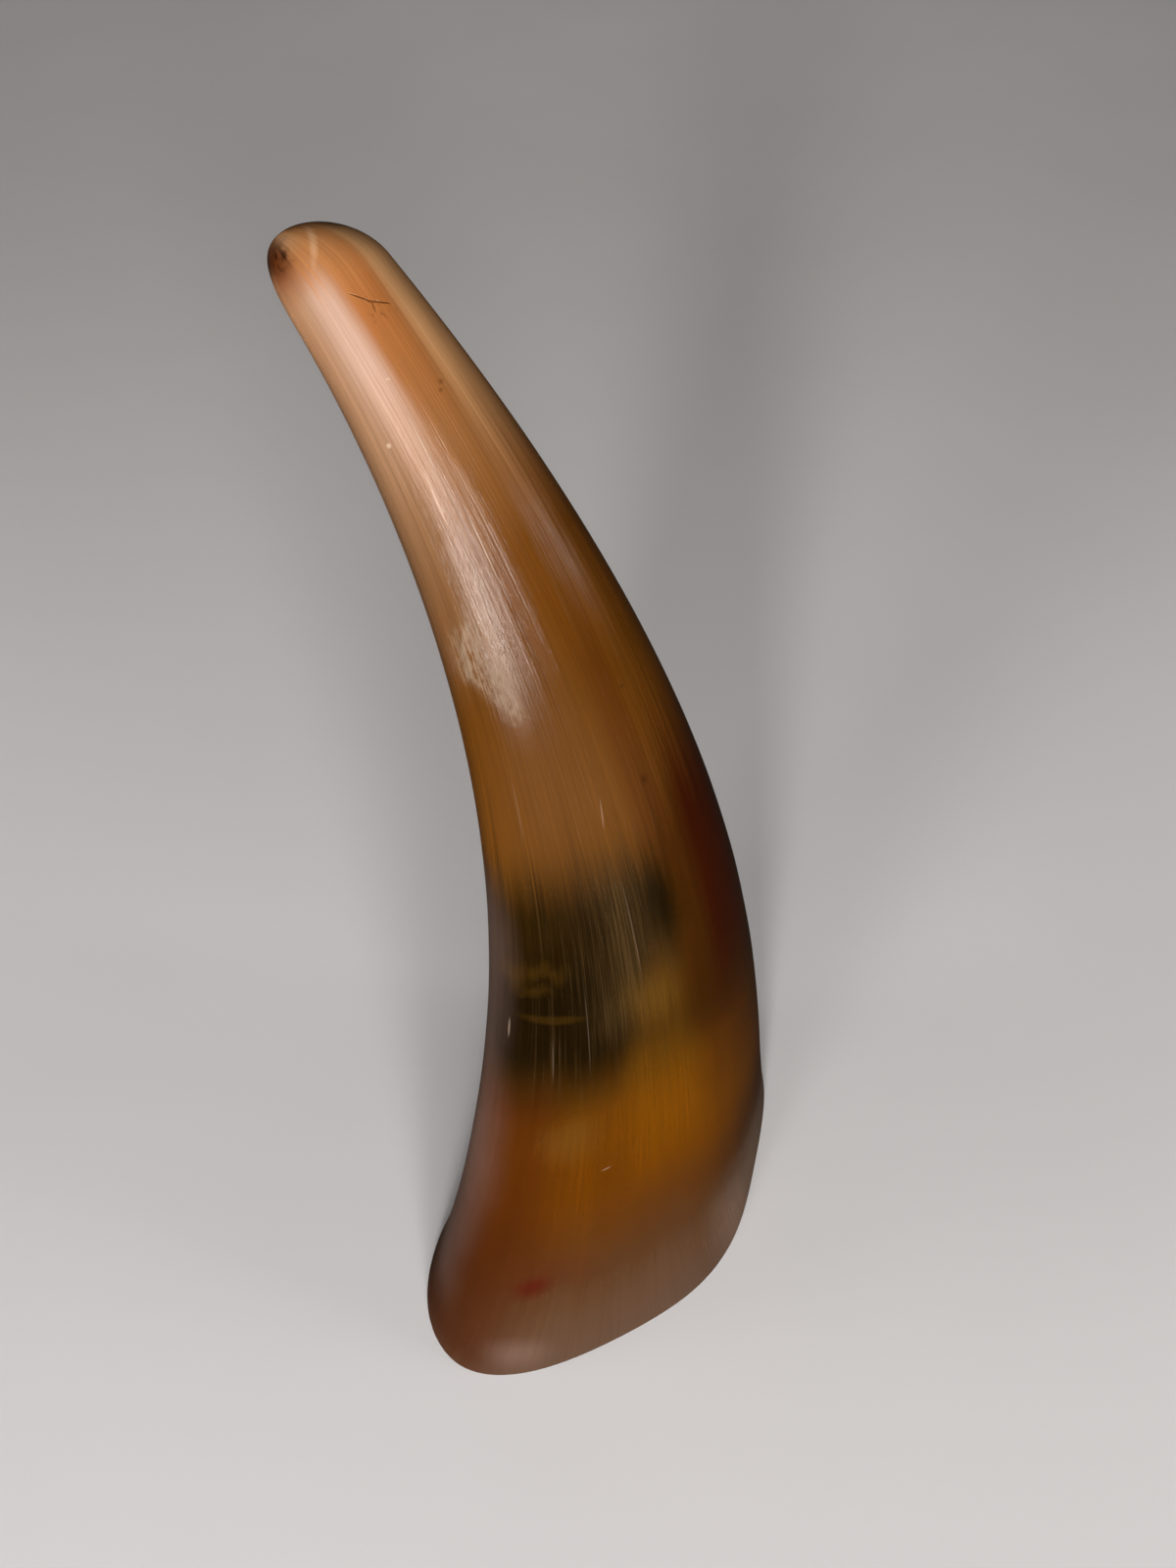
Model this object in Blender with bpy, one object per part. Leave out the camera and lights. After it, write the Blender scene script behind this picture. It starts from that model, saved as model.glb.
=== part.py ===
"""Polished buffalo horn, standing on its sawn base.

A horn grows as one piece, so it is one object: an oval cone that rises straight and then bends over to
the back, drawn out at the base into a flared oval, rounded off at the tip, and hollow from the base to
about half its height, where the bony core used to be.

Metres, +Z up. The base lies on z = 0 and the origin is below the middle of the horn's own box.
"""
import math

import bmesh
import bpy
from mathutils import Matrix, Vector

# Centre line, from the middle of the sawn base to the tip
LENGTH = 0.2525                 # along the centre line
LEAN_AT_TIP = 49.1              # degrees from the vertical
LEAN_POWER = 2.79               # above 1, so the horn rises straight and bends late
LEAN_TOWARDS = (168.6, 143.6)   # degrees from +X towards +Y, at the base and at the tip

# Cross-section: an oval, each value given at the base and at the tip, with the power it fades by
HALF_WIDTH = (0.0534, 0.0069, 1.36)     # half of the oval's long side
FRONT_FLATNESS = (0.464, 0.912, 0.42)   # short half over long half, on the -Y side
BACK_FLATNESS = (0.557, 0.912, 0.42)    # the same on the +Y side
LONG_SIDE_AT = (46.3, 3.8, 0.73)        # degrees, where the long side points
WAIST = 0.0007                  # the lower half is this much slimmer than the taper, the upper fuller
KEEL = 0.065                    # how far the base is from an oval towards a three-cornered outline
KEEL_AT = -31.1                 # degrees, one of the three corners

# Flare round the mouth
FLARE = 0.0094                  # most that it stands out, at the sawn edge
FLARE_HEIGHT = 0.0196           # it falls to 37% of that at this height
FLARE_AT = 272.7                # degrees, the side where it stands out most
FLARE_NARROWNESS = 1.14         # 0 would be the same all round

# Rounded tip
TIP_LENGTH = 0.0094
TIP_ROUNDNESS = 2.06            # 2 is an ellipse
TIP_SHIFT = (-0.0022, -0.0006)  # the apex is off the centre line by this much, in the section's X and Y

# Hollow
WALL_AT_BASE = 0.0062
HOLLOW_LENGTH = 0.128           # along the centre line
HOLLOW_FULLNESS = (2.0, 0.8)    # powers that shape it between a cone and a dome

# Facets
AROUND = 56
CROWDING = 0.3                  # radians that the facets are drawn towards the long side's two ends
OUTER_RINGS = 36
TIP_RINGS = 8
HOLLOW_RINGS = 14
LINE_STEPS = 240

HORN_COLOUR = (0.33, 0.16, 0.055, 1.0)
HORN_ROUGHNESS = 0.28


def remove_all_objects():
    for thing in list(bpy.data.objects):
        bpy.data.objects.remove(thing, do_unlink=True)


def ease(base_tip_power, t):
    """A value that runs from base (t = 0) to tip (t = 1)."""
    base, tip, power = base_tip_power
    return tip + (base - tip) * (1.0 - t) ** power


def tangent(t):
    lean = math.radians(LEAN_AT_TIP) * t ** LEAN_POWER
    at_base, at_tip = LEAN_TOWARDS
    towards = math.radians(at_base + (at_tip - at_base) * t)
    side = math.sin(lean)
    return Vector((side * math.cos(towards), side * math.sin(towards), math.cos(lean)))


def centre_line():
    """Points at equal steps along the centre line, starting from the base."""
    points = [Vector((0.0, 0.0, 0.0))]
    for i in range(LINE_STEPS):
        middle = (i + 0.5) / LINE_STEPS
        points.append(points[-1] + tangent(middle) * (LENGTH / LINE_STEPS))
    return points


def point_on(line, t):
    place = min(t, 1.0) * LINE_STEPS
    i = min(int(place), LINE_STEPS - 1)
    return line[i].lerp(line[i + 1], place - i)


def outer_radius(t, angle):
    """Distance from the centre line to the outside, before the tip is rounded off."""
    half_width = ease(HALF_WIDTH, t) - WAIST * math.sin(2.0 * math.pi * t)
    turned = angle - math.radians(ease(LONG_SIDE_AT, t))
    flatness = ease(BACK_FLATNESS if math.sin(turned) > 0.0 else FRONT_FLATNESS, t)
    oval = half_width / math.hypot(math.cos(turned), math.sin(turned) / flatness)
    corners = 1.0 + KEEL * (1.0 - t) * math.cos(3.0 * (angle - math.radians(KEEL_AT)))
    lobe = math.exp(FLARE_NARROWNESS * (math.cos(angle - math.radians(FLARE_AT)) - 1.0))
    return oval * corners + FLARE * math.exp(-t * LENGTH / FLARE_HEIGHT) * lobe


def tip_taper(t):
    """How far t is into the rounded tip, 0 to 1, and what is left of the section there."""
    into = max(0.0, (t - 1.0) * LENGTH / TIP_LENGTH + 1.0)
    left = max(0.0, 1.0 - into ** TIP_ROUNDNESS) ** (1.0 / TIP_ROUNDNESS)
    return into, left


def directions():
    """AROUND angles, closer together where the base curves most."""
    long_side = math.radians(LONG_SIDE_AT[0])
    even = [2.0 * math.pi * i / AROUND for i in range(AROUND)]
    return [angle - CROWDING * math.sin(2.0 * (angle - long_side)) for angle in even]


def ring(line, t, radius_at, shifted=0.0):
    """AROUND points in the plane across the centre line at t, with this share of the tip's shift."""
    along = tangent(t)
    across = (Vector((1.0, 0.0, 0.0)) - along * along.x).normalized()
    up = along.cross(across)
    middle = point_on(line, t) + (across * TIP_SHIFT[0] + up * TIP_SHIFT[1]) * shifted
    points = []
    for angle in directions():
        outward = across * math.cos(angle) + up * math.sin(angle)
        points.append(middle + outward * radius_at(angle))
    return points


def outer_rings(line):
    tip_start = 1.0 - TIP_LENGTH / LENGTH
    steps = [tip_start * i / OUTER_RINGS for i in range(OUTER_RINGS)]
    for i in range(TIP_RINGS):
        steps.append(tip_start + (1.0 - tip_start) * math.sin(0.5 * math.pi * i / TIP_RINGS))
    rings = []
    for t in steps:
        into, left = tip_taper(t)
        rings.append(ring(line, t, lambda angle: outer_radius(t, angle) * left, into ** 2))
    return rings


def hollow_rings(line):
    grow, close = HOLLOW_FULLNESS
    rings = []
    for i in range(HOLLOW_RINGS):
        into = math.sin(0.5 * math.pi * i / HOLLOW_RINGS)
        t = into * HOLLOW_LENGTH / LENGTH
        left = (1.0 - into ** grow) ** close
        rings.append(ring(line, t, lambda angle: (outer_radius(t, angle) - WALL_AT_BASE) * left))
    return rings


def skin(mesh, rings, apex):
    """Join the rings one to the next, close the last one on the apex, and return the first ring."""
    loops = [[mesh.verts.new(point) for point in points] for points in rings]
    for low, high in zip(loops, loops[1:]):
        for i in range(AROUND):
            j = (i + 1) % AROUND
            mesh.faces.new((low[i], low[j], high[j], high[i]))
    top = mesh.verts.new(apex)
    for i in range(AROUND):
        mesh.faces.new((loops[-1][i], loops[-1][(i + 1) % AROUND], top))
    return loops[0]


def horn_material():
    material = bpy.data.materials.new("horn_brown")
    material.use_nodes = True
    shader = material.node_tree.nodes["Principled BSDF"]
    shader.inputs["Base Color"].default_value = HORN_COLOUR
    shader.inputs["Roughness"].default_value = HORN_ROUGHNESS
    shader.inputs["Metallic"].default_value = 0.0
    return material


def make_horn():
    line = centre_line()
    mesh = bmesh.new()
    end = ring(line, 1.0, lambda angle: 0.0, 1.0)[0]
    hollow_end = point_on(line, HOLLOW_LENGTH / LENGTH)
    outer = skin(mesh, outer_rings(line), end)
    inner = skin(mesh, hollow_rings(line), hollow_end)
    for i in range(AROUND):
        j = (i + 1) % AROUND
        mesh.faces.new((outer[j], outer[i], inner[i], inner[j]))
    bmesh.ops.recalc_face_normals(mesh, faces=mesh.faces)
    lows = [min(v.co[axis] for v in mesh.verts) for axis in range(2)]
    highs = [max(v.co[axis] for v in mesh.verts) for axis in range(2)]
    to_origin = Vector((-(lows[0] + highs[0]) / 2, -(lows[1] + highs[1]) / 2, 0.0))
    bmesh.ops.transform(mesh, matrix=Matrix.Translation(to_origin), verts=mesh.verts)
    data = bpy.data.meshes.new("horn")
    mesh.to_mesh(data)
    mesh.free()
    data.shade_smooth()
    data.set_sharp_from_angle(angle=math.radians(40.0))
    data.materials.append(horn_material())
    horn = bpy.data.objects.new("horn", data)
    bpy.context.scene.collection.objects.link(horn)
    return horn


remove_all_objects()
make_horn()
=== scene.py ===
"""Looks of the polished buffalo horn: its finished surface, with the marks and colours of the real one.

The horn is one mesh, built from the same formulas as the CAD part but much finer, with a rounded sawn
edge, the faint flats left by scraping and the small facet filed on the tip. Its materials are placed by
two values that every point of the mesh carries: how far along the horn it is, and which way it faces
round the horn.
"""
import math

import bpy
import numpy as np
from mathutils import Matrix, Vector


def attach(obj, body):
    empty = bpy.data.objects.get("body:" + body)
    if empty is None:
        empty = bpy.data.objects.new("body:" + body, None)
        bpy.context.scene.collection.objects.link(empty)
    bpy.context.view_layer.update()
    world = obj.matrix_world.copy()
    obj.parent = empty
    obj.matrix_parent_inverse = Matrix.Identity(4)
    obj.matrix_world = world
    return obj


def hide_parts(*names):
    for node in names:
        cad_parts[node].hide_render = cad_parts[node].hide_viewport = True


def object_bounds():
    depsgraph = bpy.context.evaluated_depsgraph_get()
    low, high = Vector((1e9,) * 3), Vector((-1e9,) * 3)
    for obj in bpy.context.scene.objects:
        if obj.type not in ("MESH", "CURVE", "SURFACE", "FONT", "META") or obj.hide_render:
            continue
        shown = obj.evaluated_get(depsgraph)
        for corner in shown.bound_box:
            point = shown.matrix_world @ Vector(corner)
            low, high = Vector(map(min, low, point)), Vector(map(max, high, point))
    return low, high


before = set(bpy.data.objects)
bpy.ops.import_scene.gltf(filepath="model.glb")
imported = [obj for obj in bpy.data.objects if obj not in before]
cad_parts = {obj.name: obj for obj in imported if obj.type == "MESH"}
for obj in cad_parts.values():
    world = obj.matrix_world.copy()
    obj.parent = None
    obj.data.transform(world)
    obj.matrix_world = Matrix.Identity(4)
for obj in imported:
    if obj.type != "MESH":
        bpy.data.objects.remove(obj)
cad_low, cad_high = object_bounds()

MM = 0.001

# ---------------------------------------------------------------- form, as in the CAD part, in metres

LENGTH = 0.2525
LEAN_AT_TIP = 49.1
LEAN_POWER = 2.79
LEAN_TOWARDS = (168.6, 143.6)
HALF_WIDTH = (0.0534, 0.0069, 1.36)
FRONT_FLATNESS = (0.464, 0.912, 0.42)
BACK_FLATNESS = (0.557, 0.912, 0.42)
LONG_SIDE_AT = (46.3, 3.8, 0.73)
WAIST = 0.0007
KEEL = 0.065
KEEL_AT = -31.1
FLARE = 0.0094
FLARE_HEIGHT = 0.0196
FLARE_AT = 272.7
FLARE_NARROWNESS = 1.14
TIP_LENGTH = 0.0094
TIP_ROUNDNESS = 2.06
TIP_SHIFT = (-0.0022, -0.0006)
WALL_AT_BASE = 0.0062
HOLLOW_LENGTH = 0.128
HOLLOW_FULLNESS = (2.0, 0.8)

# ---------------------------------------------------------------- fine mesh

AROUND = 224                    # points round each ring
CROWDING = 0.3                  # radians that they are drawn towards the long side's two ends
TIP_ROWS = 34                   # rings on each stretch
OUTER_ROWS = 292
EDGE_ROWS = 5
RIM_ROWS = 4
HOLLOW_ROWS = 56
LINE_STEPS = 2400               # of the centre line
SAWN_EDGE_RADIUS = 0.0007
FACET_TOWARDS = (-0.58, -0.25, 0.77)
FACET_DEPTH = 0.00025
FACET_BLEND = 0.00010           # half of the depth over which its border is soft
FRONT = -90.0                   # degrees from +X: the side that faces the viewer
OUTSIDE, RIM, HOLLOW = 0, 1, 2  # zones of the mesh, and the order of its materials

# Gentle waves in the surface: how many, how many crests round the horn, wavelengths along it and height
# in millimetres, and the seed
FLATS = (10, (7, 19), (90.0, 260.0), 0.035, 11)
GROWTH = (7, (0, 2), (7.0, 26.0), 0.045, 12)
BONE_RINGS = (6, (0, 1), (3.0, 9.0), 0.16, 13)
FLATS_END = 252.0               # millimetres along the horn
FLATS_FADE = 60.0               # millimetres before their end over which the flats get shallower
FLATS_LEAST = 0.25              # share of their depth that they keep
GROWTH_AT_BASE = 1.3            # share of the growth waves' height, taken as 1 where it is above 1
GROWTH_LOSS = 1.5               # how much of that share they lose from base to tip
GROWTH_LEAST = 0.2              # share that they keep
CALM_NEAR_EDGE = 4.0            # millimetres above the sawn edge in which all waves die down


def ease(base_tip_power, t):
    base, tip, power = base_tip_power
    return tip + (base - tip) * np.maximum(0.0, 1.0 - t) ** power


def tangent(t):
    lean = np.radians(LEAN_AT_TIP) * np.maximum(t, 0.0) ** LEAN_POWER
    at_base, at_tip = LEAN_TOWARDS
    towards = np.radians(at_base + (at_tip - at_base) * t)
    side = np.sin(lean)
    return np.stack([side * np.cos(towards), side * np.sin(towards), np.cos(lean)], axis=-1)


def point_on(t):
    """Points on the centre line."""
    middles = (np.arange(LINE_STEPS) + 0.5) / LINE_STEPS
    steps = tangent(middles) * LENGTH / LINE_STEPS
    line = np.vstack([np.zeros(3), np.cumsum(steps, axis=0)])
    places = np.arange(LINE_STEPS + 1) / LINE_STEPS
    return np.stack([np.interp(t, places, line[:, axis]) for axis in range(3)], axis=-1)


def section_axes(t):
    """The X and Y of the sections across the centre line."""
    forward = tangent(t)
    across = np.array([1.0, 0.0, 0.0]) - forward * forward[:, :1]
    across /= np.linalg.norm(across, axis=1, keepdims=True)
    return across, np.cross(forward, across)


def section_middle(t, shifted):
    """Middles of the sections, each with its share of the tip's shift."""
    across, up = section_axes(t)
    return point_on(t) + (across * TIP_SHIFT[0] + up * TIP_SHIFT[1]) * shifted[:, None]


def outer_radius(t, angle):
    """Distance from the centre line to the outside, before the tip is rounded off."""
    half_width = ease(HALF_WIDTH, t) - WAIST * np.sin(2.0 * np.pi * t)
    turned = angle - np.radians(ease(LONG_SIDE_AT, t))
    flatness = np.where(np.sin(turned) > 0.0, ease(BACK_FLATNESS, t), ease(FRONT_FLATNESS, t))
    oval = half_width / np.hypot(np.cos(turned), np.sin(turned) / flatness)
    corners = 1.0 + KEEL * (1.0 - t) * np.cos(3.0 * (angle - np.radians(KEEL_AT)))
    lobe = np.exp(FLARE_NARROWNESS * (np.cos(angle - np.radians(FLARE_AT)) - 1.0))
    return oval * corners + FLARE * np.exp(-t * LENGTH / FLARE_HEIGHT) * lobe


def rings():
    """Every ring from the tip down the outside, round the sawn edge and up the hollow.

    Each has its place t on the centre line, how far it lies inside the outer radius, the share of the
    section that is left there, its share of the tip's shift, and its zone."""
    edge = SAWN_EDGE_RADIUS
    tip_start = 1.0 - TIP_LENGTH / LENGTH
    found = []
    for i in range(TIP_ROWS - 1, -1, -1):
        t = tip_start + (1.0 - tip_start) * math.sin(0.5 * math.pi * i / TIP_ROWS)
        into = (t - tip_start) / (1.0 - tip_start)
        left = (1.0 - into ** TIP_ROUNDNESS) ** (1.0 / TIP_ROUNDNESS)
        found.append((t, 0.0, left, into ** 2, OUTSIDE))
    for i in range(OUTER_ROWS - 1, -1, -1):
        t = edge / LENGTH + (tip_start - edge / LENGTH) * i / OUTER_ROWS
        found.append((t, 0.0, 1.0, 0.0, OUTSIDE))
    quarter = [0.5 * math.pi * (i + 1) / EDGE_ROWS for i in range(EDGE_ROWS)]
    for turn in quarter:
        height, inset = edge * (1.0 - math.sin(turn)), edge * (1.0 - math.cos(turn))
        found.append((height / LENGTH, inset, 1.0, 0.0, OUTSIDE))
    for i in range(1, RIM_ROWS):
        inset = edge + (WALL_AT_BASE - 2.0 * edge) * i / RIM_ROWS
        found.append((0.0, inset, 1.0, 0.0, RIM))
    for turn in [0.0] + quarter:
        height, inset = edge * (1.0 - math.cos(turn)), WALL_AT_BASE - edge * (1.0 - math.sin(turn))
        found.append((height / LENGTH, inset, 1.0, 0.0, RIM))
    grow, close = HOLLOW_FULLNESS
    start = edge / HOLLOW_LENGTH
    for i in range(1, HOLLOW_ROWS):
        into = start + (1.0 - start) * math.sin(0.5 * math.pi * i / HOLLOW_ROWS)
        left = (1.0 - into ** grow) ** close
        found.append((into * HOLLOW_LENGTH / LENGTH, WALL_AT_BASE, left, 0.0, HOLLOW))
    return found


def waves(angle, along, count, turns, reach, size, seed):
    """A sum of gentle waves, in metres and seamless round the horn. Along and reach are in millimetres."""
    rng = np.random.default_rng(seed)
    total = 0.0
    for _ in range(count):
        n = rng.integers(turns[0], turns[1] + 1)
        wavelength = rng.uniform(*reach)
        drift = rng.uniform(-1.0, 1.0) * 2.0 * np.pi / wavelength
        phase = rng.uniform(0.0, 2.0 * np.pi)
        swell = 0.6 + 0.4 * np.sin(along * rng.uniform(0.5, 1.5) * 2.0 * np.pi / reach[1] + phase)
        total = total + swell * np.cos(n * angle + drift * along + phase)
    return total * size * MM / math.sqrt(count)


def relief(t, angle, zone):
    """How far the worked surface stands off the plain form, in metres."""
    along = t * LENGTH / MM
    flats = waves(angle, along, *FLATS) * np.clip((FLATS_END - along) / FLATS_FADE, FLATS_LEAST, 1.0)
    growth = waves(angle, along, *GROWTH) * np.clip(GROWTH_AT_BASE - t * GROWTH_LOSS, GROWTH_LEAST, 1.0)
    bone_rings = waves(angle, along, *BONE_RINGS)
    calm = np.clip(along / CALM_NEAR_EDGE, 0.0, 1.0)
    return np.where(zone == HOLLOW, bone_rings, flats + growth) * calm * (zone != RIM)


def horn_grid():
    """The mesh's points: the rings' one after the other, then the tip and the hollow's end. Also each
    ring's t and zone, and the angles of a ring's points."""
    t, inset, left, shifted, zone = (np.array(column) for column in zip(*rings()))
    even = np.arange(AROUND) * 2.0 * np.pi / AROUND
    angle = even - CROWDING * np.sin(2.0 * (even - np.radians(LONG_SIDE_AT[0])))
    rows, columns = t[:, None], angle[None, :]
    radius = outer_radius(rows, columns) - inset[:, None] + relief(rows, columns, zone[:, None])
    radius = radius * left[:, None]
    across, up = section_axes(t)
    outward = across[:, None] * np.cos(angle)[None, :, None] + up[:, None] * np.sin(angle)[None, :, None]
    on_rings = section_middle(t, shifted)[:, None] + outward * radius[:, :, None]
    tip = section_middle(np.array([1.0]), np.array([1.0]))
    hollow_end = point_on(np.array([HOLLOW_LENGTH / LENGTH]))
    return np.vstack([on_rings.reshape(-1, 3), tip, hollow_end]), t, zone, angle


def file_facet(points):
    """Flatten what lies furthest in the facet's direction, as a file leaves it, with a soft border."""
    towards = np.array(FACET_TOWARDS) / np.linalg.norm(FACET_TOWARDS)
    reach = points @ towards
    over = np.maximum(0.0, reach - reach.max() + FACET_DEPTH + FACET_BLEND)
    cut = np.where(over < 2.0 * FACET_BLEND, over ** 2 / (4.0 * FACET_BLEND), over - FACET_BLEND)
    return points - cut[:, None] * towards


def move_to_cad(points):
    """The move that brings the middle of these points over the middle of the CAD's box."""
    centre = (points.min(axis=0) + points.max(axis=0)) / 2.0
    cad_centre = (cad_low + cad_high) / 2.0
    return np.array([cad_centre.x - centre[0], cad_centre.y - centre[1], cad_low.z])


def horn_faces(zone):
    """Faces between neighbouring rings, with a fan at each end, and the zone of each face."""
    count = len(zone)
    ring_start = np.arange(count - 1)[:, None] * AROUND
    here = np.arange(AROUND)[None, :]
    beside = (here + 1) % AROUND
    quads = np.stack([ring_start + here, ring_start + AROUND + here,
                      ring_start + AROUND + beside, ring_start + beside], axis=-1).reshape(-1, 4)
    last_ring, tip, hollow_end = (count - 1) * AROUND, count * AROUND, count * AROUND + 1
    fans = [(tip, i, (i + 1) % AROUND) for i in range(AROUND)]
    fans += [(hollow_end, last_ring + (i + 1) % AROUND, last_ring + i) for i in range(AROUND)]
    quad_zone = np.repeat(np.maximum(zone[:-1], zone[1:]), AROUND)
    face_zone = np.concatenate([quad_zone, np.full(AROUND, OUTSIDE), np.full(AROUND, HOLLOW)])
    return quads.tolist() + fans, face_zone.astype(np.int32)


def carry(mesh, name, kind, field, values):
    """Give every point of the mesh its value."""
    attribute = mesh.attributes.new(name, kind, "POINT")
    attribute.data.foreach_set(field, values.astype(np.float32).ravel())


def make_horn(materials):
    points, t, zone, angle = horn_grid()
    faces, face_zone = horn_faces(zone)
    placed = file_facet(points) + move_to_cad(points)
    mesh = bpy.data.meshes.new("horn")
    mesh.from_pydata(placed.tolist(), [], faces)
    mesh.polygons.foreach_set("material_index", face_zone)
    mesh.shade_smooth()
    for material in materials:
        mesh.materials.append(material)
    facing = angle - math.radians(FRONT)
    ring = np.stack([np.cos(facing), np.sin(facing), np.zeros(AROUND)], axis=1)
    around = np.vstack([np.tile(ring, (len(t), 1)), np.zeros((2, 3))])
    along = np.concatenate([np.repeat(t * LENGTH / MM, AROUND), [LENGTH / MM, HOLLOW_LENGTH / MM]])
    carry(mesh, "around", "FLOAT_VECTOR", "vector", around)
    carry(mesh, "along", "FLOAT", "value", along)
    mesh.update()
    horn = bpy.data.objects.new("horn_polished", mesh)
    bpy.context.scene.collection.objects.link(horn)
    return horn


# ---------------------------------------------------------------- colours, each red, green, blue to 255

# From base to tip, by millimetres along the horn
KERATIN = (
    (0.0, (76, 57, 45)),
    (14.0, (74, 51, 34)),
    (27.0, (68, 41, 20)),
    (42.0, (73, 39, 8)),
    (58.0, (84, 44, 0)),
    (76.0, (85, 46, 0)),
    (92.0, (70, 41, 2)),
    (106.0, (58, 35, 4)),
    (150.0, (70, 40, 5)),
    (164.0, (76, 43, 7)),
    (186.0, (72, 39, 3)),
    (206.0, (82, 46, 9)),
    (222.0, (113, 73, 38)),
    (240.0, (140, 86, 44)),
    (252.5, (154, 107, 66)),
)
SOOT = (11, 5, 0)
SMOKE = (66, 48, 24)
DARK_BROWN = (44, 18, 0)
DARK_RED = (43, 8, 0)
REDDISH = (54, 20, 1)
# Painted glow of light shining through the horn
AMBER_GLOW = (98, 55, 0)
HONEY = (80, 54, 16)
ISLAND = (62, 40, 3)
# Cream that is partly a painted highlight
CREAM_AND_HIGHLIGHT = (159, 132, 116)
LEFT_CREAM_LOW = (98, 72, 48)
LEFT_CREAM_HIGH = (120, 94, 72)
OLIVE_CREAM = (170, 132, 92)
# Painted highlights on the tip's facet and ridge
FACET_HIGHLIGHT = (150, 118, 88)
RIDGE_HIGHLIGHT = (186, 148, 116)
BURNT = (24, 8, 2)
SCORCHED = (60, 22, 0)
SINGED = (92, 42, 12)
BLOOD = (64, 7, 4)
CHALK = (122, 104, 86)
# Pale grazes, and the painted sheen of the brushed haze
GRAZE_AND_SHEEN = (100, 78, 56)
LEFT_RIM = (66, 44, 30)
# Painted reflection of the floor
PAINTED_FLOOR_REFLECTION = (112, 90, 76)
# Painted mauve sheen, a reflection of the floor
PAINTED_EDGE_SHEEN = (140, 114, 104)
SCRATCH_PALE = (168, 146, 126)

# By a noise of about -1 to 1
SAWN = ((-1.2, (92, 66, 46)), (0.0, (128, 98, 72)), (1.2, (162, 134, 104)))
BONE_SIDE = ((-1.5, (62, 40, 24)), (0.0, (104, 76, 50)), (1.5, (148, 118, 86)))
FLOOR = ((-1.5, (226, 224, 224)), (1.5, (231, 229, 229)))

# ---------------------------------------------------------------- single marks

# Scratches from (theta, along) to (theta, along), with their width in millimetres and their strength
SCRATCHES = (
    (((13.2, 148.0), (14.7, 126.0), 0.25), 0.06),
    (((11.0, 160.0), (14.3, 165.0), 0.20), 0.20),
    (((-51.0, 111.5), (-51.0, 116.5), 0.40), 0.20),
    (((-34.0, 101.0), (-34.5, 112.0), 0.25), 0.06),
    (((-20.0, 103.0), (-20.5, 124.0), 0.20), 0.06),
    (((-14.0, 65.3), (-10.5, 65.6), 0.45), 0.25),
    (((-1.9, 231.2), (-1.5, 231.4), 0.60), 0.50),
    (((-34.2, 224.3), (-33.8, 224.9), 0.60), 0.50),
    (((-6.0, 217.0), (-3.0, 226.0), 0.20), 0.30),
    (((-18.0, 213.0), (-16.0, 219.0), 0.25), 0.30),
    (((2.0, 204.0), (4.0, 214.0), 0.20), 0.30),
    (((-38.5, 162.0), (-38.0, 172.0), 0.20), 0.07),
)
# The crack across the front near the tip: strokes with their width in millimetres
CRACK = (
    ((14.0, 241.4), (28.0, 239.6), 0.18),
    ((30.0, 239.5), (27.0, 238.3), 0.16),
    ((26.0, 239.7), (36.0, 239.0), 0.30),
    ((36.0, 238.9), (45.0, 238.2), 0.20),
)
# Specks: theta, along and half sizes in millimetres
DARK_SPECKS = (
    (45.0, 227.8, 0.30, 0.25),
    (40.3, 227.0, 0.25, 0.20),
    (51.0, 165.0, 0.45, 0.80),
    (60.0, 181.0, 0.30, 0.30),
)

# ---------------------------------------------------------------- materials

KERATIN_IOR = 1.54
REFLECTION_TINT = (1.0, 0.88, 0.80, 1.0)
SKIN_REFLECTION = 0.4           # the shader's Specular IOR Level
DULL_REFLECTION = 0.2
SKIN_ROUGHNESS = 0.19
SAWN_ROUGHNESS = 0.62
HOLLOW_ROUGHNESS = 0.8
FLOOR_ROUGHNESS = 0.38
SAW_MARKS = (230.0, 1.5)        # how close they are and how much they waver


def srgb(red, green, blue):
    """A colour given as 0 to 255, as the linear values that shaders take."""
    linear = []
    for value in (red, green, blue):
        part = value / 255.0
        linear.append(part / 12.92 if part <= 0.04045 else ((part + 0.055) / 1.055) ** 2.4)
    return (*linear, 1.0)


def skin_radius(theta, along):
    """The horn's radius at a place on its skin, in millimetres."""
    return float(outer_radius(np.array(along * MM / LENGTH), math.radians(theta + FRONT))) / MM


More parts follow.
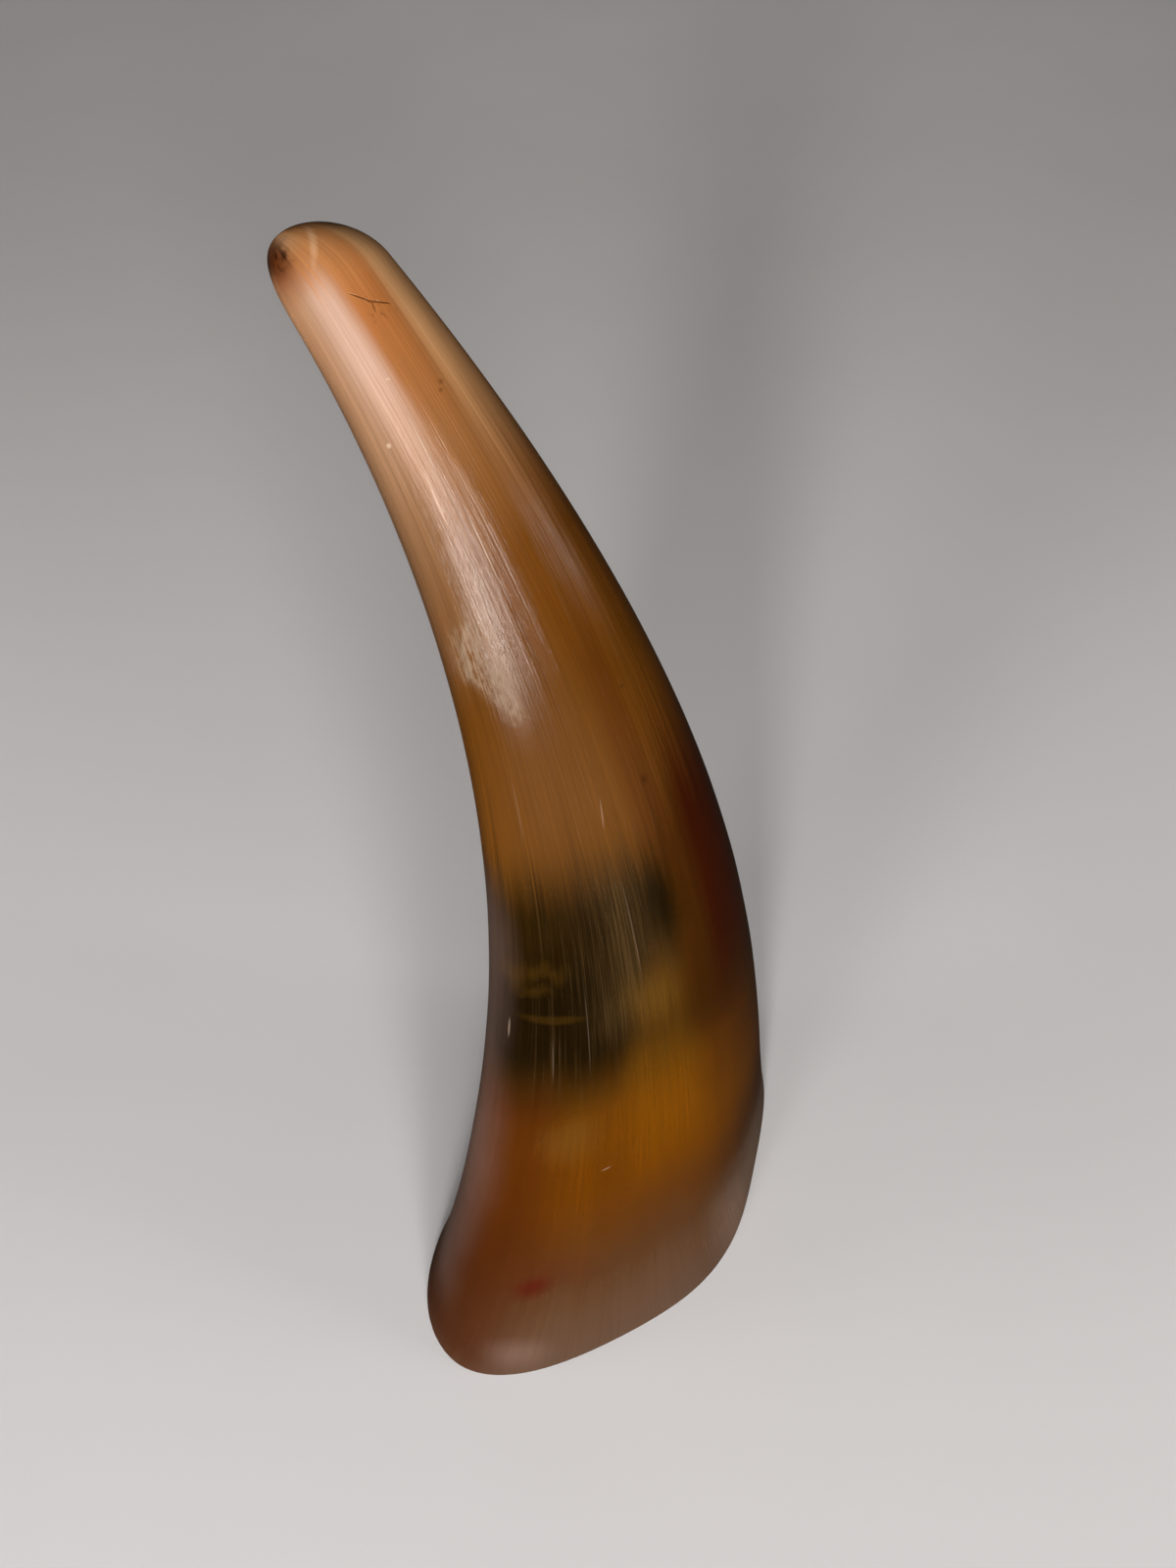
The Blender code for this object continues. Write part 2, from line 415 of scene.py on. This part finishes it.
class Surface:
    """One material being made, with short names for the nodes that go into it.

    Places on the horn's skin are theta, in degrees from the front towards +X, and along, in millimetres
    from the base. A mask is 1 where something is and 0 where it isn't."""

    def __init__(self, name, reflection):
        self.material = bpy.data.materials.new(name)
        self.material.use_nodes = True
        self.tree = self.material.node_tree
        self.shader = self.tree.nodes["Principled BSDF"]
        self.shader.inputs["IOR"].default_value = KERATIN_IOR
        self.shader.inputs["Specular IOR Level"].default_value = reflection
        self.shader.inputs["Specular Tint"].default_value = REFLECTION_TINT
        self.colour = None
        around = self.add("ShaderNodeAttribute", attribute_name="around")
        along = self.add("ShaderNodeAttribute", attribute_name="along")
        self.around, self.along = around.outputs["Vector"], along.outputs["Fac"]
        split = self.add("ShaderNodeSeparateXYZ")
        self.give(split.inputs[0], self.around)
        turn = self.maths("ARCTAN2", split.outputs[1], split.outputs[0])
        self.theta = self.maths("MULTIPLY", turn, math.degrees(1.0))

    def add(self, kind, **settings):
        node = self.tree.nodes.new(kind)
        for key, value in settings.items():
            setattr(node, key, value)
        return node

    def give(self, socket, value):
        if isinstance(value, bpy.types.NodeSocket):
            self.tree.links.new(value, socket)
        else:
            socket.default_value = value

    def maths(self, operation, *values):
        node = self.add("ShaderNodeMath", operation=operation)
        for socket, value in zip(node.inputs, values):
            self.give(socket, value)
        return node.outputs[0]

    def plus(self, *values):
        total = values[0]
        for value in values[1:]:
            total = self.maths("ADD", total, value)
        return total

    def times(self, *values):
        product = values[0]
        for value in values[1:]:
            product = self.maths("MULTIPLY", product, value)
        return product

    def scaled(self, value, factor, shift):
        return self.maths("MULTIPLY_ADD", value, factor, shift)

    def together(self, *masks):
        """Masks added up, but at most 1."""
        return self.maths("MINIMUM", self.plus(*masks), 1.0)

    def step(self, value, start, end):
        """0 on one side of start and 1 beyond end, with a soft change between them."""
        node = self.add("ShaderNodeMapRange", interpolation_type="SMOOTHSTEP")
        self.give(node.inputs["Value"], value)
        self.give(node.inputs["From Min"], start)
        self.give(node.inputs["From Max"], end)
        return node.outputs["Result"]

    def between(self, value, start, full, fading, end):
        """0 up to start, 1 from full to fading, and 0 beyond end."""
        return self.times(self.step(value, start, full), self.step(value, end, fading))

    def noise_at(self, place, scale, detail, roughness):
        """Noise of about -1 to 1."""
        node = self.add("ShaderNodeTexNoise")
        self.give(node.inputs["Vector"], place)
        node.inputs["Scale"].default_value = scale
        node.inputs["Detail"].default_value = detail
        node.inputs["Roughness"].default_value = roughness
        return self.scaled(node.outputs[0], 4.0, -2.0)

    def noise(self, turns, length, detail, shift, roughness=0.5):
        """Noise on the horn's skin: cells per radian round it, and their length along it in millimetres.
        The shift sets one noise apart from another."""
        round_it = self.add("ShaderNodeVectorMath", operation="SCALE")
        self.give(round_it.inputs[0], self.around)
        round_it.inputs["Scale"].default_value = turns
        up_it = self.add("ShaderNodeCombineXYZ")
        self.give(up_it.inputs[2], self.scaled(self.along, 1.0 / length, shift))
        joined = self.add("ShaderNodeVectorMath", operation="ADD")
        self.give(joined.inputs[0], round_it.outputs[0])
        self.give(joined.inputs[1], up_it.outputs[0])
        return self.noise_at(joined.outputs[0], 1.0, detail, roughness)

    def spot(self, theta, along, wide, tall, tilt=0.0, soft=0.9, on=None):
        """Mask of an oval on the skin, with half sizes in millimetres, leaning by tilt degrees.

        It is laid out on the values of theta and along that are given as on, or else on the plain ones."""
        theta_from, along_from = on or (self.theta, self.along)
        per_degree = skin_radius(theta, along) * math.radians(1.0)
        x = self.scaled(theta_from, per_degree, -theta * per_degree)
        y = self.maths("SUBTRACT", along_from, along)
        lean = math.radians(tilt)
        u = self.plus(self.times(x, math.cos(lean) / wide), self.times(y, math.sin(lean) / wide))
        v = self.plus(self.times(x, -math.sin(lean) / tall), self.times(y, math.cos(lean) / tall))
        away = self.maths("SQRT", self.plus(self.times(u, u), self.times(v, v)))
        return self.step(away, 1.0 + soft, 1.0 - soft)

    def stroke(self, start, end, wide, soft=0.5):
        """Mask of a straight mark from one (theta, along) to another, this many millimetres wide."""
        theta, along = (start[0] + end[0]) / 2.0, (start[1] + end[1]) / 2.0
        across = (end[0] - start[0]) * skin_radius(theta, along) * math.radians(1.0)
        up = end[1] - start[1]
        tilt = -math.degrees(math.atan2(across, up))
        return self.spot(theta, along, wide / 2.0, math.hypot(across, up) / 2.0, tilt, soft)

    def ramp(self, value, stops):
        """Colour by value, from (value, colour) pairs in rising order."""
        low, high = stops[0][0], stops[-1][0]
        node = self.add("ShaderNodeValToRGB")
        self.give(node.inputs[0], self.scaled(value, 1.0 / (high - low), -low / (high - low)))
        elements = node.color_ramp.elements
        node.color_ramp.interpolation = "LINEAR"
        while len(elements) < len(stops):
            elements.new(0.5)
        for element, (place, colour) in zip(elements, stops):
            element.position = (place - low) / (high - low)
            element.color = srgb(*colour)
        return node.outputs[0]

    def mixed(self, factor, below, above):
        """One colour where the factor is 0 and the other where it is 1."""
        node = self.add("ShaderNodeMix", data_type="RGBA", clamp_factor=True)
        self.give(node.inputs[0], factor)
        for socket, colour in ((node.inputs[6], below), (node.inputs[7], above)):
            self.give(socket, srgb(*colour) if isinstance(colour, tuple) else colour)
        return node.outputs[2]

    def paint(self, colour, *strengths):
        """Lay a colour over what there is so far, as strong as the product of the masks and numbers."""
        self.colour = self.mixed(self.times(*strengths), self.colour, colour)

    def brighten(self, amount):
        """Multiply the colour by 1 + amount."""
        node = self.add("ShaderNodeVectorMath", operation="SCALE")
        self.give(node.inputs[0], self.colour)
        self.give(node.inputs["Scale"], self.maths("ADD", amount, 1.0))
        self.colour = node.outputs[0]

    def finish(self, roughness, height):
        """Height in millimetres."""
        bump = self.add("ShaderNodeBump")
        bump.inputs["Strength"].default_value = 1.0
        bump.inputs["Distance"].default_value = MM
        self.give(bump.inputs["Height"], height)
        self.give(self.shader.inputs["Base Color"], self.colour)
        self.give(self.shader.inputs["Roughness"], roughness)
        self.give(self.shader.inputs["Normal"], bump.outputs["Normal"])
        return self.material


class Skin(Surface):
    """The polished outside, with the noises and the uneven borders that its paints share."""

    def __init__(self):
        super().__init__("horn_outside", SKIN_REFLECTION)
        self.clouds = self.noise(1.5, 48.0, 3.0, 0.0)
        self.brush = self.noise(7.0, 70.0, 4.0, 3.0)
        self.fibres = self.noise(34.0, 60.0, 4.0, 7.0)
        self.hairs = self.noise(70.0, 30.0, 3.0, 11.0)
        self.blotches = self.noise(3.0, 9.0, 3.0, 5.0)
        self.brushed = self.noise(58.0, 26.0, 3.0, 29.0, 0.6)
        self.grain = self.noise(9.0, 1.0, 4.0, 31.0)
        self.grit = self.noise(20.0, 2.2, 5.0, 17.0, 0.75)
        # Theta and along with unevenness, so that borders laid out on them waver, fray or smear
        self.wavering = self.plus(self.theta, self.times(self.clouds, 4.0))
        self.frayed = self.plus(self.along, self.times(self.brush, 1.6), self.times(self.fibres, 1.8),
                                self.times(self.hairs, 1.4))
        self.smeared = self.plus(self.along, self.times(self.blotches, 2.0), self.times(self.brush, 1.5))
        self.near_tip = self.plus(self.along, self.times(self.grain, 0.35))
        # Everywhere but the middle of the back, so that no border runs down it
        self.not_back = self.step(self.maths("ABSOLUTE", self.theta), 168.0, 108.0)


def paint_lower_half(skin):
    """Redder and darker towards both sides, with amber light through the middle."""
    skin.paint(REDDISH, skin.not_back, skin.step(skin.wavering, -18.0, -42.0),
               skin.between(skin.frayed, -8.0, 6.0, 90.0, 110.0), 0.8)
    blurred = (skin.wavering, skin.smeared)
    skin.paint(REDDISH, skin.spot(-13.0, 76.0, 5.0, 22.0, on=blurred), 0.45)
    skin.paint(REDDISH, skin.not_back, skin.step(skin.wavering, 40.0, 66.0),
               skin.between(skin.frayed, 60.0, 84.0, 100.0, 104.0), 0.6)
    # Painted amber glow, standing in for light shining through the horn's wall
    skin.paint(AMBER_GLOW, skin.spot(31.0, 79.0, 15.0, 15.0, on=blurred), 0.4)
    skin.paint(HONEY, skin.spot(-27.0, 80.0, 4.0, 6.0, on=blurred), 0.4)


def paint_right_side(skin):
    """Deep brown beside the dark patch, then deep red, and the same colours round the back."""
    back = skin.times(skin.step(skin.maths("ABSOLUTE", skin.theta), 84.0, 130.0), 0.75)
    skin.paint(DARK_BROWN, back, skin.between(skin.frayed, 84.0, 112.0, 148.0, 178.0))
    skin.paint(REDDISH, back, skin.step(skin.frayed, 96.0, 60.0), 0.6)
    skin.paint(DARK_BROWN, skin.not_back, skin.step(skin.wavering, 34.0, 56.0),
               skin.between(skin.frayed, 92.0, 108.0, 148.0, 176.0), 0.8)
    skin.paint(REDDISH, skin.between(skin.wavering, 24.0, 42.0, 52.0, 68.0),
               skin.between(skin.frayed, 140.0, 158.0, 184.0, 206.0), 0.36)
    skin.paint(DARK_RED, skin.not_back, skin.step(skin.wavering, 60.0, 76.0),
               skin.between(skin.frayed, 94.0, 124.0, 150.0, 184.0), 0.9)


def paint_dark_patch(skin):
    """The green-black patch, drawn out lengthwise at its borders. Returns its mask."""
    lower_end = skin.scaled(skin.step(skin.wavering, -14.0, 30.0), 30.0, 96.5)
    upper_end = skin.scaled(skin.step(skin.wavering, -20.0, -60.0), -1.0, 151.0)
    patch = skin.times(skin.step(skin.maths("SUBTRACT", skin.frayed, lower_end), -13.0, 13.0),
                       skin.step(skin.maths("SUBTRACT", skin.frayed, upper_end), 9.0, -9.0),
                       skin.step(skin.wavering, 56.0, 38.0), skin.step(skin.theta, -110.0, -75.0))
    skin.paint(SOOT, patch, 0.95)
    uneven, upright = (skin.wavering, skin.frayed), (skin.theta, skin.frayed)
    smudged = (skin.theta, skin.smeared)
    skin.paint(ISLAND, skin.spot(-44.0, 142.0, 8.0, 9.0, on=uneven), 0.12)
    smoke = skin.together(skin.spot(12.0, 144.0, 4.0, 14.0, 8.0, on=upright),
                          skin.spot(11.0, 124.0, 7.0, 12.0, on=uneven),
                          skin.spot(18.0, 114.0, 6.0, 10.0, on=uneven))
    streaks = skin.plus(skin.step(skin.brushed, -0.5, 0.9), 0.5)
    skin.paint(SMOKE, patch, smoke, streaks, 0.42)
    skin.paint(HONEY, skin.spot(18.0, 117.0, 4.0, 6.0, on=uneven), 0.45)
    skin.paint(SOOT, skin.spot(31.0, 139.0, 5.0, 8.0, 6.0, 0.8, on=upright), 0.45)
    skin.paint(SOOT, skin.spot(-24.0, 125.0, 5.0, 9.0, on=uneven), 0.6)
    islands = skin.plus(skin.spot(-49.0, 129.0, 3.4, 2.6, 20.0, on=smudged),
                        skin.spot(-35.0, 130.0, 2.6, 1.6, -15.0, on=smudged),
                        skin.spot(-40.0, 126.0, 2.2, 0.8, 10.0, on=smudged),
                        skin.spot(-34.0, 118.0, 4.8, 1.1, -8.0, 0.5))
    skin.paint(ISLAND, islands, 0.26)
    return patch


def paint_upper_part(skin):
    """Cream on the left, with a painted highlight in part of it, and olive-cream on the right."""
    # Cream over the front near the tip, partly a painted highlight
    skin.paint(CREAM_AND_HIGHLIGHT, skin.between(skin.wavering, -58.0, -24.0, -8.0, 14.0),
               skin.between(skin.frayed, 214.0, 236.0, 242.0, 248.0), 0.85)
    left_cream = skin.mixed(skin.step(skin.along, 205.0, 236.0), LEFT_CREAM_LOW, LEFT_CREAM_HIGH)
    skin.paint(left_cream, skin.not_back, skin.step(skin.wavering, -16.0, -44.0),
               skin.between(skin.frayed, 182.0, 214.0, 250.0, 256.0), 0.7)
    skin.paint(LEFT_RIM, skin.not_back, skin.step(skin.theta, -48.0, -66.0),
               skin.between(skin.frayed, 178.0, 200.0, 230.0, 246.0), 0.45)
    skin.paint(OLIVE_CREAM, skin.between(skin.theta, 44.0, 60.0, 84.0, 100.0),
               skin.between(skin.frayed, 210.0, 238.0, 248.0, 253.0), 0.65)


def paint_base(skin):
    """A painted reflection of the floor low on the right, a painted mauve sheen on the left edge and near
    the base, and a red spot.
    """
    # Painted reflection of the floor, paler, low on the right
    skin.paint(PAINTED_FLOOR_REFLECTION, skin.not_back, skin.step(skin.wavering, 38.0, 74.0),
               skin.step(skin.smeared, 36.0, 6.0), 0.8)
    # Painted mauve sheen, a reflection of the floor along the left edge
    skin.paint(PAINTED_EDGE_SHEEN, skin.between(skin.wavering, -118.0, -84.0, -72.0, -44.0),
               skin.between(skin.smeared, 2.0, 22.0, 136.0, 160.0),
               skin.scaled(skin.step(skin.along, 96.0, 56.0), 0.26, 0.28))
    halo = skin.times(skin.spot(-25.0, 32.0, 7.0, 4.0, -35.0, 0.95), 0.25)
    skin.paint(BLOOD, skin.together(skin.spot(-31.0, 28.0, 2.6, 2.9, 0.0, 0.95), halo), 0.7)
    # Painted mauve sheen low on the left near the base
    skin.paint(PAINTED_EDGE_SHEEN, skin.spot(-30.0, 6.0, 5.0, 3.2, -20.0, 0.95), 0.16)


def paint_tip(skin):
    """A painted grey-cream highlight on the facet, a scorched place on its left, a painted highlight along
    the ridge beside it, and dark rims.
    """
    grainy = (skin.theta, skin.near_tip)
    # Painted highlight on the filed facet
    skin.paint(FACET_HIGHLIGHT, skin.spot(-14.0, 251.2, 2.4, 1.8, 0.0, 0.8), 0.6)
    skin.paint(SINGED, skin.spot(-44.0, 248.6, 3.4, 3.0), 0.7)
    skin.paint(SCORCHED, skin.spot(-42.0, 250.0, 2.5, 2.2, 0.0, 0.8, on=grainy), 0.85)
    skin.paint(BURNT, skin.spot(-30.0, 249.6, 1.7, 1.3, 0.0, 0.8, on=grainy),
               skin.step(skin.grain, -0.5, 0.5), 0.85)
    skin.paint(BURNT, skin.spot(-68.0, 250.6, 2.2, 1.6, on=grainy), 0.9)
    skin.paint(SCORCHED, skin.spot(76.0, 249.6, 1.8, 1.1, on=grainy), 0.5)
    # Painted highlight along the ridge
    skin.paint(RIDGE_HIGHLIGHT, skin.stroke((44.0, 250.6), (2.0, 246.6), 0.8, 0.8), 0.45)


def paint_crack(skin):
    """The crack across the front near the tip, with a few smudges below it. Returns the crack's mask."""
    crack = skin.together(*[skin.stroke(*place) for place in CRACK])
    skin.paint(SCORCHED, crack, 0.48)
    skin.paint(SCORCHED, skin.spot(30.0, 237.8, 1.6, 1.1), skin.step(skin.grain, 0.1, 0.9), 0.5)
    return crack


def paint_scuff(skin):
    """The scuffed place on the left, with chalky grazes. Returns its mask."""
    smudged = (skin.theta, skin.smeared)
    area = skin.plus(skin.spot(-38.5, 194.5, 3.0, 4.4, 10.0, 0.6, on=smudged),
                     skin.times(skin.spot(-29.0, 189.5, 2.4, 4.6, 20.0, 0.8, on=smudged), 0.8),
                     skin.times(skin.spot(-25.5, 185.5, 1.4, 3.5, 20.0, 0.9, on=smudged), 0.5))
    curl = skin.plus(skin.stroke((-45.0, 190.0), (-44.0, 195.5), 0.9, 0.7),
                     skin.stroke((-44.0, 195.0), (-36.0, 199.0), 0.9, 0.7))
    lint = skin.noise(72.0, 6.0, 3.0, 19.0, 0.6)
    rubbed = skin.plus(skin.times(skin.grit, 0.8), skin.times(lint, 0.6), skin.times(curl, 0.35))
    scuff = skin.times(skin.together(area, skin.times(curl, 0.6)), skin.step(rubbed, -0.7, 0.9))
    skin.paint(CHALK, scuff, 0.75)
    return scuff


def paint_grazes(skin, patch):
    """A painted sheen of brushed haze, pale grazes that lie in clusters and in trails, and streaks across
    the dark patch.
    Returns the grazes' mask."""
    # Painted sheen: a broad brushed haze down the front
    skin.paint(GRAZE_AND_SHEEN, skin.stroke((-3.0, 190.0), (6.0, 150.0), 16.0, 0.9), 0.09)
    clusters = skin.step(skin.plus(skin.brush, skin.times(skin.blotches, 0.4)), -0.6, 0.9)
    trails = skin.together(skin.stroke((8.0, 178.0), (15.0, 110.0), 8.0, 0.9),
                           skin.stroke((57.0, 232.0), (52.0, 160.0), 7.0, 0.9),
                           skin.stroke((-10.0, 196.0), (4.0, 150.0), 10.0, 0.9))
    where = skin.plus(skin.times(trails, 0.40),
                      skin.times(clusters, skin.step(skin.along, 78.0, 112.0), 0.07))
    single = skin.step(skin.noise(64.0, 9.0, 3.0, 27.0, 0.6), 0.35, 1.3)
    grazes = skin.times(single, where)
    skin.paint(GRAZE_AND_SHEEN, grazes)
    skin.paint(SMOKE, patch, skin.between(skin.theta, -50.0, -34.0, 16.0, 34.0),
               skin.step(skin.brushed, 0.0, 1.1), 0.30)
    return grazes


def outside_material():
    skin = Skin()
    place = skin.plus(skin.along, skin.times(skin.brush, 3.0), skin.times(skin.clouds, 2.0))
    skin.colour = skin.ramp(place, KERATIN)
    paint_lower_half(skin)
    paint_right_side(skin)
    patch = paint_dark_patch(skin)
    paint_upper_part(skin)
    paint_base(skin)
    paint_tip(skin)
    crack = paint_crack(skin)
    scuff = paint_scuff(skin)

    # Fine lengthwise fibres, fainter towards the base
    texture = skin.plus(skin.times(skin.fibres, 0.10), skin.times(skin.hairs, 0.18),
                        skin.times(skin.brush, 0.05))
    fading = skin.scaled(skin.step(skin.along, 40.0, 120.0), 0.65, 0.35)
    skin.brighten(skin.plus(-0.07, skin.times(texture, fading)))

    grazes = paint_grazes(skin, patch)
    scratches = [skin.times(skin.stroke(*place), strength) for place, strength in SCRATCHES]
    skin.paint(SCRATCH_PALE, skin.together(*scratches))
    skin.paint(BURNT, skin.plus(*[skin.spot(*place, 0.0, 0.8) for place in DARK_SPECKS]), 0.4)

    fine_scratches = skin.noise(90.0, 14.0, 4.0, 21.0, 0.65)
    roughness = skin.plus(SKIN_ROUGHNESS, skin.times(skin.fibres, 0.03), skin.times(skin.clouds, 0.03),
                          skin.times(scuff, 0.3))
    height = skin.plus(skin.times(skin.brush, 0.02), skin.times(skin.fibres, 0.008),
                       skin.times(fine_scratches, 0.007), skin.times(scuff, skin.grit, 0.02),
                       skin.times(crack, -0.1), skin.times(grazes, -0.006))
    return skin.finish(roughness, height)


def sawn_material():
    """The sawn face at the base, with the saw's marks across it."""
    cut = Surface("horn_sawn", DULL_REFLECTION)
    fibres = cut.noise(60.0, 30.0, 3.0, 2.0)
    mottle = cut.noise(9.0, 20.0, 3.0, 5.0)
    place = cut.add("ShaderNodeTexCoord")
    wave = cut.add("ShaderNodeTexWave", wave_type="BANDS", bands_direction="DIAGONAL")
    cut.give(wave.inputs["Vector"], place.outputs["Object"])
    wave.inputs["Scale"].default_value, wave.inputs["Distortion"].default_value = SAW_MARKS
    saw = wave.outputs["Fac"]
    cut.colour = cut.ramp(cut.plus(cut.times(fibres, 0.25), mottle, cut.times(saw, 0.3)), SAWN)
    height = cut.plus(cut.times(saw, 0.05), cut.times(fibres, 0.01))
    return cut.finish(cut.plus(SAWN_ROUGHNESS, cut.times(fibres, 0.05)), height)


def hollow_material():
    """The rough inside, ringed where the bony core used to be."""
    bore = Surface("horn_hollow", DULL_REFLECTION)
    growth = bore.noise(0.8, 1.8, 3.0, 4.0)
    fibres = bore.noise(40.0, 30.0, 4.0, 8.0)
    stain = bore.noise(3.0, 22.0, 4.0, 1.0)
    bore.colour = bore.ramp(bore.plus(stain, bore.times(growth, 0.4), bore.times(fibres, 0.3)), BONE_SIDE)
    height = bore.plus(bore.times(growth, 0.12), bore.times(fibres, 0.03))
    return bore.finish(bore.plus(HOLLOW_ROUGHNESS, bore.times(fibres, 0.05)), height)


def floor_material():
    """A plain, satin, pale surface."""
    top = Surface("floor_pale", DULL_REFLECTION)
    place = top.add("ShaderNodeTexCoord")
    cloud = top.noise_at(place.outputs["Object"], 9.0, 4.0, 0.5)
    top.colour = top.ramp(cloud, FLOOR)
    return top.finish(top.plus(FLOOR_ROUGHNESS, top.times(cloud, 0.01)), top.times(cloud, 0.02))


# ---------------------------------------------------------------- studio

FLOOR_REACH = 14.0              # from the horn to each edge of the floor, in heights of the horn

# Name, azimuth from +X and elevation in degrees, distance, width and height in metres, power in watts,
# and whether it is seen reflected in the polish. All face the middle of the horn.
LAMPS = (
    ("window", -99.0, 5.0, 1.3, (0.17, 0.74), 17.0, True),
    ("window_left", -122.0, 14.0, 1.3, (0.30, 0.35), 5.6, False),
    ("window_right", -75.0, 14.0, 1.3, (0.30, 0.35), 9.4, False),
    ("front_low", -98.0, 0.0, 1.1, (0.20, 0.16), 8.6, False),
    ("front_high", -75.0, 42.0, 1.3, (0.30, 0.35), 1.8, False),
    ("side_glint", -14.0, 18.0, 1.3, (0.12, 0.30), 1.2, True),
    ("left_fill", 190.0, 2.0, 0.9, (0.30, 0.20), 2.6, False),
    ("right_fill", -6.0, 12.0, 0.9, (0.30, 0.30), 1.3, False),
)
# One more, straight above this place, lights the floor behind the horn
FAR_LAMP = ("far_floor", 90.0, 90.0, 0.5, (1.8, 0.3), 1.3, False)
FAR_PLACE = (0.0, 1.0, 0.05)
LAMP_COLOUR = (1.0, 0.985, 0.975)
WORLD_COLOUR = (1.0, 0.82, 0.64, 1.0)
WORLD_STRENGTH = 0.025

CAMERA_LENS = 27.0              # millimetres, on a sensor of this width
CAMERA_SENSOR = 36.0
CAMERA_PLACE = (-0.0182, -0.4971, 1.279)    # in heights of the horn
CAMERA_DOWN = 50.05             # degrees below the horizontal


def make_floor(height):
    size = FLOOR_REACH * height
    mesh = bpy.data.meshes.new("floor")
    mesh.from_pydata([(-size, -size, 0.0), (size, -size, 0.0), (size, size, 0.0), (-size, size, 0.0)],
                     [], [(0, 1, 2, 3)])
    floor = bpy.data.objects.new("floor", mesh)
    floor.location.z = cad_low.z
    bpy.context.scene.collection.objects.link(floor)
    mesh.materials.append(floor_material())
    floor.visible_glossy = False


def soft_light(name, azimuth, elevation, distance, size, power, reflected, target):
    """An area light that faces the target from that direction."""
    light = bpy.data.lights.new(name, "AREA")
    light.shape = "RECTANGLE"
    light.size, light.size_y = size
    light.energy = power
    light.color = LAMP_COLOUR
    lamp = bpy.data.objects.new(name, light)
    a, e = math.radians(azimuth), math.radians(elevation)
    away = Vector((math.cos(a) * math.cos(e), math.sin(a) * math.cos(e), math.sin(e)))
    lamp.location = target + away * distance
    lamp.rotation_euler = away.to_track_quat("Z", "Y").to_euler()
    lamp.visible_camera = False
    lamp.visible_glossy = reflected
    bpy.context.scene.collection.objects.link(lamp)


def make_world():
    world = bpy.data.worlds.new("studio")
    world.use_nodes = True
    background = world.node_tree.nodes["Background"]
    background.inputs["Color"].default_value = WORLD_COLOUR
    background.inputs["Strength"].default_value = WORLD_STRENGTH
    bpy.context.scene.world = world


def make_camera(height):
    data = bpy.data.cameras.new("camera")
    data.lens = CAMERA_LENS
    data.sensor_width = CAMERA_SENSOR
    data.clip_start = 0.01
    camera = bpy.data.objects.new("camera", data)
    camera.location = Vector(CAMERA_PLACE) * height
    camera.rotation_euler = (math.radians(90.0 - CAMERA_DOWN), 0.0, 0.0)
    bpy.context.scene.collection.objects.link(camera)
    bpy.context.scene.camera = camera


height = cad_high.z - cad_low.z
horn = make_horn([outside_material(), sawn_material(), hollow_material()])
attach(horn, "root")
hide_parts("horn")
make_floor(height)
middle = Vector((0.0, 0.0, cad_low.z + 0.5 * height))
for lamp in LAMPS:
    soft_light(*lamp, middle)
soft_light(*FAR_LAMP, Vector(FAR_PLACE))
make_world()
bpy.context.scene.view_settings.view_transform = "Standard"
make_camera(height)

bpy.context.view_layer.update()
